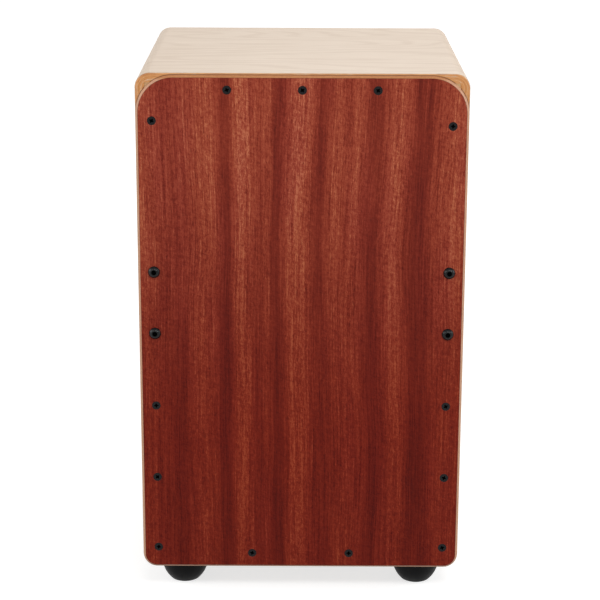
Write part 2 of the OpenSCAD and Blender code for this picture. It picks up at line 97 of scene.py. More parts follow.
class Graph:
    """A material, and short calls that add nodes to it. Its x, y and z are object coordinates in mm."""

    def __init__(self, name):
        self.mat = bpy.data.materials.new(name)
        self.mat.use_nodes = True
        self.tree = self.mat.node_tree
        self.shader = self.tree.nodes["Principled BSDF"]
        self.x, self.y, self.z = self.axes()

    def node(self, kind, **settings):
        n = self.tree.nodes.new(kind)
        for key, value in settings.items():
            setattr(n, key, value)
        return n

    def feed(self, socket, value):
        if isinstance(value, bpy.types.NodeSocket):
            self.tree.links.new(value, socket)
        else:
            socket.default_value = value

    def set(self, **inputs):
        for key, value in inputs.items():
            self.feed(self.shader.inputs[key.replace("_", " ")], value)

    def axes(self):
        coords = self.node("ShaderNodeTexCoord").outputs["Object"]
        scaled = self.node("ShaderNodeVectorMath", operation="SCALE")
        self.feed(scaled.inputs[0], coords)
        scaled.inputs["Scale"].default_value = 1000
        split = self.node("ShaderNodeSeparateXYZ")
        self.feed(split.inputs[0], scaled.outputs[0])
        return split.outputs

    def axis(self, name):
        return {"x": self.x, "y": self.y, "z": self.z}[name]

    def math(self, op, a, b=0.0, c=0.0, clamp=False):
        n = self.node("ShaderNodeMath", operation=op, use_clamp=clamp)
        for i, v in enumerate((a, b, c)):
            self.feed(n.inputs[i], v)
        return n.outputs[0]

    def add(self, a, b):
        return self.math("ADD", a, b)

    def mul(self, a, b):
        return self.math("MULTIPLY", a, b)

    def span(self, value, a, b, to_a=0.0, to_b=1.0, smooth=True):
        n = self.node("ShaderNodeMapRange")
        n.interpolation_type = "SMOOTHSTEP" if smooth else "LINEAR"
        for i, v in enumerate((value, a, b, to_a, to_b)):
            self.feed(n.inputs[i], v)
        return n.outputs[0]

    def vec(self, x, y, z):
        n = self.node("ShaderNodeCombineXYZ")
        for i, v in enumerate((x, y, z)):
            self.feed(n.inputs[i], v)
        return n.outputs[0]

    def noise(self, along, across, depth, detail=2.0, rough=0.5, seed=0.0):
        """Noise over three (coordinate, frequency per mm) pairs, from 0 to 1."""
        v = self.vec(*(self.mul(c, f) for c, f in (along, across, depth)))
        n = self.node("ShaderNodeTexNoise", noise_dimensions="4D")
        self.feed(n.inputs["Vector"], v)
        for key, value in (("W", seed), ("Scale", 1.0), ("Detail", detail), ("Roughness", rough)):
            n.inputs[key].default_value = value
        return n.outputs["Fac"]

    def ramp(self, fac, stops, interpolation="LINEAR"):
        n = self.node("ShaderNodeValToRGB")
        ramp = n.color_ramp
        ramp.interpolation = interpolation
        while len(ramp.elements) > 1:
            ramp.elements.remove(ramp.elements[-1])
        for i, (place, colour) in enumerate(stops):
            e = ramp.elements[0] if i == 0 else ramp.elements.new(place)
            e.position = place
            e.color = colour if isinstance(colour, tuple) else (colour, colour, colour, 1.0)
        self.feed(n.inputs["Fac"], fac)
        return n.outputs["Color"]

    def mix(self, fac, a, b, how="MIX"):
        n = self.node("ShaderNodeMix", data_type="RGBA", blend_type=how)
        self.feed(n.inputs["Factor"], fac)
        self.feed(n.inputs[6], a)
        self.feed(n.inputs[7], b)
        return n.outputs[2]

    def bump(self, height, distance, strength=1.0):
        n = self.node("ShaderNodeBump")
        n.inputs["Strength"].default_value = strength
        n.inputs["Distance"].default_value = distance
        self.feed(n.inputs["Height"], height)
        self.set(Normal=n.outputs[0])


def front_veneer():
    """Red-brown ribbon-striped veneer with vertical grain."""
    g = Graph("front_veneer")
    x, y, z = g.x, g.y, g.z
    # The ribbons draw together at two thirds of the height and spread again above it.
    height = g.span(z, 25, 500, smooth=False)
    lean = g.ramp(height, [(0, 0.55), (0.32, 0.52), (0.5, 0.45), (0.66, 0.26), (0.82, 0.5), (1, 0.95)],
                  "B_SPLINE")
    share = g.span(x, -90, 0, -0.6, 1.0, smooth=False)
    lean = g.mul(g.mul(g.add(lean, -0.5), 13.0), share)
    wander = g.mul(g.add(g.noise((z, 0.008), (x, 0.012), (y, 0.01), 1.0, seed=3), -0.5), 8.0)
    ragged = g.mul(g.add(g.noise((z, 0.02), (x, 0.25), (y, 0.1), 2.0, seed=11), -0.5), 4.0)
    flow = g.math("SUBTRACT", g.math("SUBTRACT", x, lean), wander)
    u = g.span(g.add(flow, ragged), -150, 150, smooth=False)

    def ribbons(places):
        return g.ramp(u, [((p + 150) / 300, tone) for p, tone in places], "CARDINAL")

    # (place in mm, lightness) of the dark and light ribbons
    upper = ribbons([
        (-150, 0.72), (-128, 0.52), (-106, 0.5), (-88, 0.7), (-77, 0.5), (-70, 0.0), (-66, 0.1),
        (-58, 0.92), (-47, 0.62), (-38, 0.42), (-31, 0.6), (-25, 0.02), (-21, 0.1), (-13, 0.66),
        (-6, 0.88), (2, 0.86), (9, 0.5), (15, 0.05), (20, 0.2), (30, 0.7), (39, 0.45), (48, 0.66),
        (58, 0.2), (66, 0.12), (75, 0.5), (86, 0.8), (95, 0.4), (101, 0.0), (110, 0.0), (119, 0.42),
        (134, 0.7), (150, 0.6)])
    lower = ribbons([
        (-150, 0.66), (-132, 0.5), (-118, 0.25), (-108, 0.2), (-97, 0.62), (-87, 0.66), (-77, 0.42),
        (-70, 0.0), (-65, 0.12), (-55, 0.86), (-46, 0.66), (-38, 0.2), (-31, 0.5), (-23, 0.0),
        (-18, 0.12), (-9, 0.7), (0, 0.86), (8, 0.62), (18, 0.3), (26, 0.36), (36, 0.6), (50, 0.62),
        (59, 0.32), (66, 0.08), (76, 0.45), (88, 0.76), (97, 0.35), (103, 0.0), (112, 0.02),
        (122, 0.42), (136, 0.62), (150, 0.55)])
    patch = g.mul(g.add(g.noise((z, 0.012), (x, 0.03), (y, 0.01), 1.0, seed=8), -0.5), 0.5)
    tone = g.mix(g.math("ADD", g.span(z, 330, 210), patch, clamp=True), upper, lower)
    tone = g.math("MULTIPLY_ADD", g.add(tone, -0.45), g.span(z, 330, 130, 1.0, 0.9), 0.45)
    wobble = g.mul(g.add(g.noise((z, 0.16), (x, 0.2), (y, 0.1), 1.0, seed=14), -0.5), 3.5)
    broad = g.noise((z, 0.008), (x, 0.05), (y, 0.01), 2.0, seed=5)
    streak = g.noise((z, 0.012), (flow, 0.3), (y, 0.2), 3.0, 0.6, seed=6)
    fibre = g.noise((z, 0.012), (flow, 1.1), (y, 0.4), 3.0, 0.65, seed=1)
    fleck = g.noise((z, 0.22), (g.add(flow, wobble), 1.0), (y, 0.4), 3.0, 0.7, seed=2)
    ripple = g.noise((g.add(z, g.mul(x, 0.3)), 0.62), (x, 0.2), (y, 0.4), 2.0, 0.6, seed=4)
    grit = g.noise((z, 0.9), (flow, 1.5), (y, 0.6), 2.0, 0.7, seed=13)
    light = g.mul(tone, 0.55)
    # (layer, its strength in dark ribbons, what it gains in light ones)
    for layer, base, gain in ((broad, 0.35, 0.0), (streak, 0.6, 0.2), (fibre, 0.85, 0.6),
                              (fleck, 0.65, 1.3), (ripple, 0.35, 0.4), (grit, 0.3, 0.6)):
        strength = g.add(g.mul(tone, gain), base)
        light = g.math("MULTIPLY_ADD", g.add(layer, -0.5), strength, light)
    thread = g.noise((z, 0.014), (flow, 0.9), (y, 0.4), 2.0, 0.5, seed=12)
    light = g.math("MULTIPLY_ADD", g.span(thread, 0.62, 0.72), g.add(g.mul(tone, 0.22), 0.06), light)
    light = g.add(light, 0.22)
    colour = g.ramp(light, [(0.0, rgb(99, 31, 22)), (0.25, rgb(127, 45, 31)), (0.5, rgb(151, 63, 44)),
                            (0.75, rgb(172, 82, 58)), (1.0, rgb(200, 118, 83))])
    maroon = g.span(g.noise((z, 0.006), (x, 0.04), (y, 0.01), 1.0, seed=9), 0.42, 0.66)
    colour = g.mix(g.mul(maroon, 0.5), colour, rgb(246, 232, 255), "MULTIPLY")
    # Painted shade: the front darkens towards the bottom, standing for the light falling off downward.
    colour = g.mix(g.span(z, 480, 140, 0.0, 0.85), colour, rgb(201, 130, 108), "MULTIPLY")
    pores = g.span(g.noise((z, 0.22), (x, 2.4), (y, 1.0), 1.0, seed=7), 0.64, 0.74)
    colour = g.mix(g.mul(pores, 0.5), colour, rgb(52, 16, 12))
    g.set(Base_Color=colour, Roughness=g.span(fibre, 0.2, 0.8, 0.46, 0.36), Specular_IOR_Level=0.1)
    g.bump(g.math("MULTIPLY_ADD", pores, -1.0, g.mul(fibre, 0.6)), 0.00012, 0.5)
    return g.mat


def wood_tone(g, along, across, depth, seed, pores=0.35):
    """Tone of a fine-pored pale wood, from about 0 to 1, and its fibre layer."""
    figure = g.noise((along, 0.02), (across, 0.03), (depth, 0.02), 3.0, 0.55, seed)
    bands = g.noise((along, 0.004), (across, 0.16), (depth, 0.1), 2.0, 0.6, seed + 1)
    fibre = g.noise((along, 0.02), (across, 1.3), (depth, 0.8), 3.0, 0.65, seed + 2)
    pore = g.span(g.noise((along, 0.12), (across, 2.6), (depth, 1.2), 1.0, 0.5, seed + 3), 0.64, 0.76)
    # Growth rings that a peeling knife meets at a low angle: level lines of a long, smooth swell.
    swell = g.noise((along, 0.0016), (across, 0.009), (depth, 0.004), 1.0, 0.4, seed + 4)
    ragged = g.noise((along, 0.012), (across, 0.12), (depth, 0.1), 3.0, 0.6, seed + 5)
    turns = g.mul(g.math("MULTIPLY_ADD", ragged, 0.03, swell), 2 * math.pi * 34)
    late = g.span(g.math("SINE", turns), 0.1, 1.0)
    tone = g.math("MULTIPLY_ADD", g.add(figure, -0.5), 0.5, 0.6)
    tone = g.math("MULTIPLY_ADD", g.add(bands, -0.5), 0.55, tone)
    tone = g.math("MULTIPLY_ADD", g.add(fibre, -0.5), 0.55, tone)
    tone = g.math("MULTIPLY_ADD", late, -0.3, tone)
    tone = g.math("MULTIPLY_ADD", pore, -pores, tone)
    return tone, fibre, pore


SHELL_LAYERS = (0.6, 1.5, 1.6, 1.6, 1.6, 1.5, 0.6)   # veneers of the shell's 9 mm ply in mm, outside in
BACK_LAYERS = (0.5, 1.3, 1.4, 1.3, 0.5)              # veneers of the back panel's 5 mm ply
GLUE_LINE = 0.15                                     # half the width of a glue line in mm
LACQUER_ROUGHNESS = 0.36


def ply(name, depth, along, across, seed, layers=SHELL_LAYERS, pale=(213, 193, 171), deep=(188, 162, 135),
        long_grain=(222, 160, 100), end_grain=(198, 132, 78), line=(156, 98, 56), shade_line_mask=None):
    """Lacquered ply. depth is a function of the graph that gives the distance in from the outer face, in mm.
    The last argument says where a painted shadow darkens the cut edge in a thin line beside another piece."""
    g = Graph(name)
    d = depth(g)
    tone, fibre, pore = wood_tone(g, g.axis(along), g.axis(across), d, seed)
    face = g.ramp(tone, [(0.0, rgb(*deep)), (1.0, rgb(*pale))])
    # The cut edge: even veneers show long grain, odd ones end grain, with a thin glue line between them.
    total = sum(layers)
    stops, at = [], 0.0
    for i, t in enumerate(layers):
        shade = 0.55 if i % 2 else 0.72
        stops += [((at + GLUE_LINE) / total, shade), ((at + t - GLUE_LINE) / total, shade)]
        at += t
        if i < len(layers) - 1:
            stops.append((at / total, 0.3))
    waver = g.noise((g.x, 0.05), (g.z, 0.05), (g.y, 0.02), 2.0, 0.5, seed + 6)
    turn = g.ramp(g.math("DIVIDE", g.add(d, g.mul(g.add(waver, -0.5), 0.5)), total), stops)
    streak = g.noise((d, 1.5), (g.add(g.x, g.z), 0.08), (g.y, 0.3), 3.0, 0.65, seed + 7)
    speck = g.noise((g.x, 1.1), (g.z, 1.1), (g.y, 0.4), 2.0, 0.6, seed + 8)
    tint = g.math("MULTIPLY_ADD", g.add(streak, -0.5), 2.4, turn)
    tint = g.math("MULTIPLY_ADD", g.add(speck, -0.5), 0.5, tint)
    sides = g.ramp(tint, [(0.0, rgb(*line)), (0.35, rgb(*end_grain)), (0.8, rgb(*long_grain)),
                          (1.0, rgb(*pale))])
    # Painted shadow: a thin dark line on the cut edge where it meets another piece.
    if shade_line_mask:
        sides = g.mix(g.mul(shade_line_mask(g), 0.75), sides, rgb(112, 68, 40))
    cut_edge = g.mul(g.span(d, 0.3, 0.75), g.span(d, total - 0.1, total - 0.3))
    g.set(Base_Color=g.mix(cut_edge, face, sides), Specular_IOR_Level=0.35,
          Roughness=g.span(fibre, 0.25, 0.75, LACQUER_ROUGHNESS + 0.06, LACQUER_ROUGHNESS))
    g.bump(g.math("MULTIPLY_ADD", pore, -0.6, g.mul(fibre, 0.5)), 0.00005, 0.3)
    return g.mat


def plate_edge():
    """The front plate's bevel and edge: dark face veneer, pale core, thin back veneer."""
    g = Graph("plate_edge")
    d = g.math("SUBTRACT", g.y, FRONT_Y / MM)
    ring = g.noise((g.x, 0.6), (g.z, 0.6), (d, 1.6), 2.0, 0.6, 31)
    long_fibre = g.noise((g.x, 0.05), (g.z, 0.05), (d, 3.0), 2.0, 0.6, 32)
    core = g.ramp(g.math("MULTIPLY_ADD", g.add(ring, -0.5), 0.9, long_fibre),
                  [(0.1, rgb(174, 124, 96)), (0.55, rgb(204, 156, 126)), (0.95, rgb(224, 182, 156))])
    # The lacquer has run down and ambered the top edge.
    near_top = g.span(g.z, PLATE_TOP_Z / MM - 5, PLATE_TOP_Z / MM - 2)
    core = g.mix(near_top, core, rgb(240, 216, 180), "MULTIPLY")
    layer = g.ramp(g.math("DIVIDE", d, (SHELL_Y - FRONT_Y) / MM),
                   [(0.0, 0.0), (0.07, 0.0), (0.12, 1.0), (0.74, 1.0), (0.79, 0.3), (0.84, 0.75), (1.0, 0.6)])
    colour = g.mix(layer, rgb(96, 42, 26), core)
    # The back veneer has straight vertical grain.
    grain = g.noise((g.z, 0.012), (g.x, 0.7), (g.y, 0.3), 3.0, 0.65, 33)
    broad = g.noise((g.z, 0.004), (g.x, 0.06), (g.y, 0.02), 2.0, 0.5, 34)
    back = g.ramp(g.math("MULTIPLY_ADD", g.add(broad, -0.5), 0.6, grain),
                  [(0.25, rgb(128, 82, 56)), (0.5, rgb(164, 114, 82)), (0.75, rgb(186, 138, 104))])
    colour = g.mix(g.span(d, 2.75, 2.95), colour, back)
    g.set(Base_Color=colour, Roughness=g.span(ring, 0.2, 0.8, 0.5, 0.42), Specular_IOR_Level=0.15)
    g.bump(ring, 0.00008, 0.4)
    return g.mat


def solid_wood(name, along, seed):
    """Unfinished straight-grained wood."""
    g = Graph(name)
    others = [c for c in "xyz" if c != along]
    a, b, c = (g.axis(v) for v in (along, *others))
    ring = g.node("ShaderNodeTexWave", wave_type="RINGS", rings_direction="Z", wave_profile="SAW")
    shift = g.mul(g.noise((a, 0.004), (b, 0.05), (c, 0.05), 1.0, 0.5, seed), 16.0)
    # The tree's heart lies off to one side of the piece.
    heart_b, heart_c = 57 + 7 * seed, 41 + 5 * seed
    place = g.vec(g.add(g.add(b, heart_b), shift), g.add(c, heart_c), g.mul(a, 0.01))
    g.feed(ring.inputs["Vector"], place)
    for key, value in (("Scale", 0.14), ("Distortion", 1.2), ("Detail", 1.0), ("Detail Scale", 0.6)):
        ring.inputs[key].default_value = value
    tone, fibre, pore = wood_tone(g, a, b, c, seed + 20, pores=0.2)
    tone = g.math("MULTIPLY_ADD", g.add(ring.outputs["Fac"], -0.5), 0.45, tone)
    colour = g.ramp(tone, [(0.0, rgb(180, 134, 88)), (1.0, rgb(214, 174, 126))])
    g.set(Base_Color=colour, Roughness=g.span(fibre, 0.2, 0.8, 0.7, 0.62))
    g.bump(g.math("MULTIPLY_ADD", pore, -0.8, g.mul(fibre, 0.7)), 0.00012, 0.6)
    return g.mat


def metal(name, colour, roughness, worn, metallic=1.0, seed=40, specular=0.5):
    """Plated or blackened steel, or brass, with fine wear."""
    g = Graph(name)
    fine = g.noise((g.x, 3.5), (g.y, 3.5), (g.z, 3.5), 3.0, 0.6, seed)
    wide = g.noise((g.x, 0.35), (g.y, 0.35), (g.z, 0.35), 2.0, 0.6, seed + 1)
    wear = g.span(g.math("MULTIPLY_ADD", fine, 0.5, g.mul(wide, 0.5)), 0.45, 0.68)
    g.set(Base_Color=g.mix(g.mul(wear, 0.6), rgb(*colour), rgb(*worn)),
          Roughness=g.span(fine, 0.2, 0.8, roughness + 0.08, roughness - 0.04),
          Metallic=metallic, Specular_IOR_Level=specular)
    g.bump(fine, 0.00003, 0.5)
    return g.mat


def rubber():
    """Black rubber with a little dust."""
    g = Graph("foot_rubber")
    fine = g.noise((g.x, 2.2), (g.y, 2.2), (g.z, 2.2), 3.0, 0.65, 50)
    wide = g.noise((g.x, 0.12), (g.y, 0.12), (g.z, 0.12), 2.0, 0.5, 51)
    dust = g.span(g.math("MULTIPLY_ADD", wide, 0.6, g.mul(fine, 0.4)), 0.42, 0.7)
    g.set(Base_Color=g.mix(g.mul(dust, 0.5), rgb(9, 9, 10), rgb(22, 23, 24)),
          Roughness=g.span(wide, 0.3, 0.7, 0.44, 0.56), Specular_IOR_Level=0.1)
    g.bump(fine, 0.00006, 0.6)
    return g.mat


def felt():
    """Grey wool felt."""
    g = Graph("felt")
    fuzz = g.noise((g.x, 2.0), (g.y, 2.0), (g.z, 2.0), 4.0, 0.75, 60)
    clump = g.noise((g.x, 0.25), (g.y, 0.25), (g.z, 0.25), 3.0, 0.6, 61)
    g.set(Base_Color=g.ramp(g.math("MULTIPLY_ADD", fuzz, 0.6, g.mul(clump, 0.4)),
                            [(0.3, rgb(52, 54, 58)), (0.7, rgb(104, 107, 112))]),
          Roughness=0.95, Sheen_Weight=0.5, Sheen_Roughness=0.5)
    g.bump(fuzz, 0.0003, 0.9)
    return g.mat


# ---------------------------------------------------------------- mesh helpers


def to_object(bm, name, *mats):
    """An object with outward normals and the given material slots. bm is used up."""
    bmesh.ops.recalc_face_normals(bm, faces=bm.faces)
    mesh = bpy.data.meshes.new(name)
    bm.to_mesh(mesh)
    bm.free()
    obj = bpy.data.objects.new(name, mesh)
    bpy.context.scene.collection.objects.link(obj)
    for m in mats:
        mesh.materials.append(m)
    return obj


def apply_modifiers(obj):
    """Bakes an object's modifiers into its mesh."""
    bpy.context.view_layer.update()
    evaluated = obj.evaluated_get(bpy.context.evaluated_depsgraph_get())
    mesh = bpy.data.meshes.new_from_object(evaluated)
    old = obj.data
    obj.modifiers.clear()
    obj.data = mesh
    mesh.name = old.name
    bpy.data.meshes.remove(old)
    return obj


def cut(obj, *cutters):
    """Cuts closed meshes out of obj."""
    for c in cutters:
        m = obj.modifiers.new("cut", "BOOLEAN")
        m.operation, m.solver, m.object = "DIFFERENCE", "EXACT", c
        apply_modifiers(obj)
        bpy.data.objects.remove(c)
    return obj


def soften(obj, width=0.0, segments=2, angle=35):
    """Rounds the sharp edges and shades the result with face-weighted normals."""
    if width:
        m = obj.modifiers.new("round", "BEVEL")
        m.width, m.segments, m.limit_method = width, segments, "ANGLE"
        m.angle_limit, m.use_clamp_overlap, m.miter_outer = math.radians(angle), True, "MITER_ARC"
        apply_modifiers(obj)
    bm = bmesh.new()
    bm.from_mesh(obj.data)
    for f in bm.faces:
        f.smooth = True
    for e in bm.edges:
        e.smooth = len(e.link_faces) == 2 and e.calc_face_angle(0) < math.radians(angle)
    bm.to_mesh(obj.data)
    bm.free()
    m = obj.modifiers.new("normals", "WEIGHTED_NORMAL")
    m.keep_sharp, m.weight = True, 80
    return apply_modifiers(obj)


def lathe_bm(bm, profile, segments, place=Matrix.Identity(4), material=0):
    """Turns (radius, height) points about +Z; a radius of 0 closes the end."""
    rings = []
    for r, h in profile:
        if r <= 1e-9:
            rings.append([bm.verts.new(place @ Vector((0, 0, h)))])
        else:
            rings.append([bm.verts.new(place @ Vector((r * math.cos(t), r * math.sin(t), h)))
                          for t in (2 * math.pi * i / segments for i in range(segments))])
    for a, b in zip(rings, rings[1:]):
        for i in range(segments):
            j = (i + 1) % segments
            quad = [a[i % len(a)], a[j % len(a)], b[j % len(b)], b[i % len(b)]]
            quad = [v for n, v in enumerate(quad) if v not in quad[:n]]
            if len(quad) > 2:
                bm.faces.new(quad).material_index = material
    return bm


def lathe(name, profile, segments, place=Matrix.Identity(4), *mats):
    return to_object(lathe_bm(bmesh.new(), profile, segments, place), name, *mats)


def prism_bm(bm, outline, z0, z1):
    """A closed prism over an outline of (x, y) points."""
    rings = [[bm.verts.new((x, y, z)) for x, y in outline] for z in (z0, z1)]
    bm.faces.new(rings[0])
    bm.faces.new(rings[1])
    for i in range(len(outline)):
        j = (i + 1) % len(outline)
        bm.faces.new((rings[0][i], rings[0][j], rings[1][j], rings[1][i]))
    return bm


def hexagon(across):
    """Points of a hexagon with the given width across its flats."""
    r = across / 2 / math.cos(math.radians(30))
    return [(r * math.cos(t), r * math.sin(t)) for t in (math.radians(60 * i) for i in range(6))]


def arc(r, centre, start, end, steps):
    """Points of an arc from start to end degrees about centre."""
    turns = (math.radians(start + (end - start) * i / steps) for i in range(steps + 1))
    return [(centre[0] + r * math.cos(t), centre[1] + r * math.sin(t)) for t in turns]


def copies(name, part, places, *mats):
    """One mesh that holds a copy of part at each place. part is used up."""
    bm = bmesh.new()
    for place in places:
        start = len(bm.verts)
        bm.from_mesh(part.data)
        bm.verts.ensure_lookup_table()
        for v in bm.verts[start:]:
            v.co = place @ v.co
    mesh = bpy.data.meshes.new(name)
    bm.to_mesh(mesh)
    bm.free()
    for m in mats:
        mesh.materials.append(m)
    obj = bpy.data.objects.new(name, mesh)
    bpy.context.scene.collection.objects.link(obj)
    bpy.data.objects.remove(part)
    return obj


def stands_for(obj, node, body=CABINET):
    """Lets a piece ride on a body in place of a CAD node."""
    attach(obj, body)
    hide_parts(node)
    return obj


def solids_of(node):
    """(centre, low corner, high corner) of each loose solid of a CAD node, from left to right."""
    bm = bmesh.new()
    bm.from_mesh(NODES[node].data)
    bmesh.ops.remove_doubles(bm, verts=bm.verts, dist=1e-6)
    bm.verts.index_update()
    seen, found = set(), []
    for v in bm.verts:
        if v.index in seen:
            continue
        group, queue = [], [v]
        seen.add(v.index)
        while queue:
            q = queue.pop()
            group.append(q.co)
            for e in q.link_edges:
                o = e.other_vert(q)
                if o.index not in seen:
                    seen.add(o.index)
                    queue.append(o)
        lo = Vector([min(c[i] for c in group) for i in range(3)])
        hi = Vector([max(c[i] for c in group) for i in range(3)])
        found.append(((lo + hi) / 2, lo, hi))
    bm.free()
    return sorted(found, key=lambda f: (round(f[0].x, 4), round(f[0].z, 4), round(f[0].y, 4)))


# ---------------------------------------------------------------- materials

VENEER = front_veneer()
PLATE_EDGE = plate_edge()
BLACK_STEEL = metal("black_steel", (5, 5, 6), 0.22, (14, 14, 16), 0.0, specular=0.2)
# Painted shade: a darker steel with almost no reflection for the insides of the black screws' cross recesses
# and the bolts' sockets, standing for the shade in them.
RECESS_SHADE = metal("recess_shade", (3, 3, 3), 0.7, (6, 6, 7), 0.0, 42, specular=0.02)
PLATED = metal("plated_steel", (168, 170, 174), 0.3, (120, 122, 126), 1.0, 44)
STRING_STEEL = metal("string_steel", (196, 198, 202), 0.22, (140, 142, 146), 1.0, 46)
BRASS = metal("brass", (188, 150, 76), 0.3, (140, 104, 50), 1.0, 48)
RUBBER = rubber()
FELT = felt()

# ---------------------------------------------------------------- shell panels

ARRIS_OUT, ARRIS_IN = 2.0 * MM, 0.3 * MM   # radii of the long edges outside and inside
MITRE_V = 0.10 * MM                        # depth of the fine groove along each mitre
ARC_STEPS, ARRIS_STEPS = 14, 5
# The rounded corners that each panel runs between, as signs of (x, z), in order around its section
PANEL_CORNERS = {"top_panel": ((-1, 1), (1, 1)), "bottom_panel": ((-1, -1), (1, -1)),
                 "left_panel": ((-1, -1), (-1, 1)), "right_panel": ((1, -1), (1, 1))}


def panel_points(kind):
    """Cross-section of a panel as [(x, z, nx, nz, arris)], ordered around the section."""
    pts = []
    level = kind in ("top_panel", "bottom_panel")
    for which, (side, up) in enumerate(PANEL_CORNERS[kind]):
        cx = side * (HALF_W - CORNER_R)
        cz = (TOP_Z if up > 0 else BASE_Z) - up * CORNER_R
        half = []   # half of the corner, from the mitre to the panel's flat face
        for i in range(ARC_STEPS + 1):
            t = math.radians(45) - math.radians(45 * i / ARC_STEPS)
            out, along = math.cos(t), math.sin(t)
            nx, nz = (side * along, up * out) if level else (side * out, up * along)
            r = CORNER_R - (MITRE_V if i == 0 else 0)
            half.append((cx + r * nx, cz + r * nz, nx, nz, ARRIS_OUT))
        pts += half if which == 0 else reversed(half)
    for side, up in reversed(PANEL_CORNERS[kind]):
        pts.append((side * INNER_X, CEIL_Z if up > 0 else FLOOR_Z, -side, -up, ARRIS_IN))
    return pts


def shell_panel(kind, material):
    """A mitred panel whose front and rear arrises are rounded."""
    pts = panel_points(kind)
    turns = [math.radians(90 * i / ARRIS_STEPS) for i in range(ARRIS_STEPS + 1)]
    rounding = [(1 - math.sin(a), 1 - math.cos(a)) for a in turns]
    levels = [(SHELL_Y, 1, inset, back) for inset, back in rounding]
    levels += [(REAR_Y, -1, inset, back) for inset, back in reversed(rounding)]
    bm = bmesh.new()
    rings = []
    for y, way, inset, back in levels:
        rings.append([bm.verts.new((x - nx * arris * inset, y + way * arris * back, z - nz * arris * inset))
                      for x, z, nx, nz, arris in pts])
    n = len(pts)
    for a, b in zip(rings, rings[1:]):
        for i in range(n):
            j = (i + 1) % n
            bm.faces.new((a[i], a[j], b[j], b[i]))
    bm.faces.new(rings[0])
    bm.faces.new(rings[-1])
    return to_object(bm, kind + "_dressed", material)


def past_corner(g, past_x, past_z):
    """Distance out from the centre line of a rounded corner, from distances past it along x and z."""
    corner_x, corner_z = g.math("MAXIMUM", past_x, 0.0), g.math("MAXIMUM", past_z, 0.0)
    outside = g.math("SQRT", g.add(g.mul(corner_x, corner_x), g.mul(corner_z, corner_z)))
    return g.add(outside, g.math("MINIMUM", g.math("MAXIMUM", past_x, past_z), 0.0))


def shell_depth(g):
    """Depth in mm below the shell's outer face, which runs round the rounded corners."""
    half_h = (TOP_Z - BASE_Z) / 2 / MM
    radius = CORNER_R / MM
    past_x = g.math("SUBTRACT", g.math("ABSOLUTE", g.x), HALF_W / MM - radius)
    past_z = g.math("SUBTRACT", g.math("ABSOLUTE", g.add(g.z, -(BASE_Z / MM + half_h))), half_h - radius)
    return g.math("SUBTRACT", radius, past_corner(g, past_x, past_z))


def plate_shadow_line(g):
    """Painted shadow mask: 1 on the shell's front within half a millimetre of the front plate's upper
    outline, where the seam between them lies in shade.
    """
    radius = PLATE_TOP_R / MM
    past_x = g.math("SUBTRACT", g.math("ABSOLUTE", g.x), PLATE_HALF_W / MM - radius)
    past_z = g.math("SUBTRACT", g.z, PLATE_TOP_Z / MM - radius)
    out = g.math("SUBTRACT", past_corner(g, past_x, past_z), radius)
    return g.mul(g.span(out, 1.0, 0.4), g.span(g.y, SHELL_Y / MM + 2.0, SHELL_Y / MM + 1.0))


SHELL_GRAIN = {"top_panel": ("x", 101), "bottom_panel": ("x", 111),
               "left_panel": ("z", 121), "right_panel": ("z", 131)}

shell = {}
for kind, (along, seed) in SHELL_GRAIN.items():
    shell[kind] = shell_panel(kind, ply("birch_" + kind, shell_depth, along, "y", seed, shade_line_mask=plate_shadow_line))

for side in ("left", "right"):
    at = (low("tuning_screw_" + side) + high("tuning_screw_" + side)) / 2
    cut(shell["bottom_panel"], lathe("key_hole", [
        (0, -0.002), (6.3 * MM, -0.002), (6.3 * MM, 0), (5.85 * MM, 0.15 * MM), (5.6 * MM, 0.45 * MM),
        (5.5 * MM, 0.8 * MM), (5.5 * MM, 0.011), (0, 0.011)], 48, Matrix.Translation((at.x, at.y, BASE_Z))))
for kind, obj in shell.items():
    soften(obj, angle=30)
    stands_for(obj, kind)

# ---------------------------------------------------------------- front plate

SCREW_HEAD_R, SCREW_R = 4.1 * MM, 1.75 * MM
HOLE_GAP = 0.08 * MM
plate_screws = [c for c, _, _ in solids_of("front_plate_screws")]
bolt_places = [c for c, _, _ in solids_of("crossbar_bolts")]


def plate_outline(inset, steps=20):
    """The front plate's outline, drawn in by inset."""
    low_r = CORNER_R - (HALF_W - PLATE_HALF_W)
    pts = []
    for sx, sz, r, start in ((1, 1, PLATE_TOP_R, 0), (-1, 1, PLATE_TOP_R, 90),
                             (-1, -1, low_r, 180), (1, -1, low_r, 270)):
        centre = (sx * (PLATE_HALF_W - r), (PLATE_TOP_Z if sz > 0 else PLATE_LOW_Z) - sz * r)
        pts += arc(r - inset, centre, start, start + 90, steps)
    return pts


def screw_hole(depth):
    """Countersunk hole of the given depth as lathe points."""
    return [(0, -1 * MM), (SCREW_HEAD_R + HOLE_GAP + 1 * MM, -1 * MM), (SCREW_R + HOLE_GAP, 2.35 * MM),
            (SCREW_R + HOLE_GAP, depth), (0, depth)]


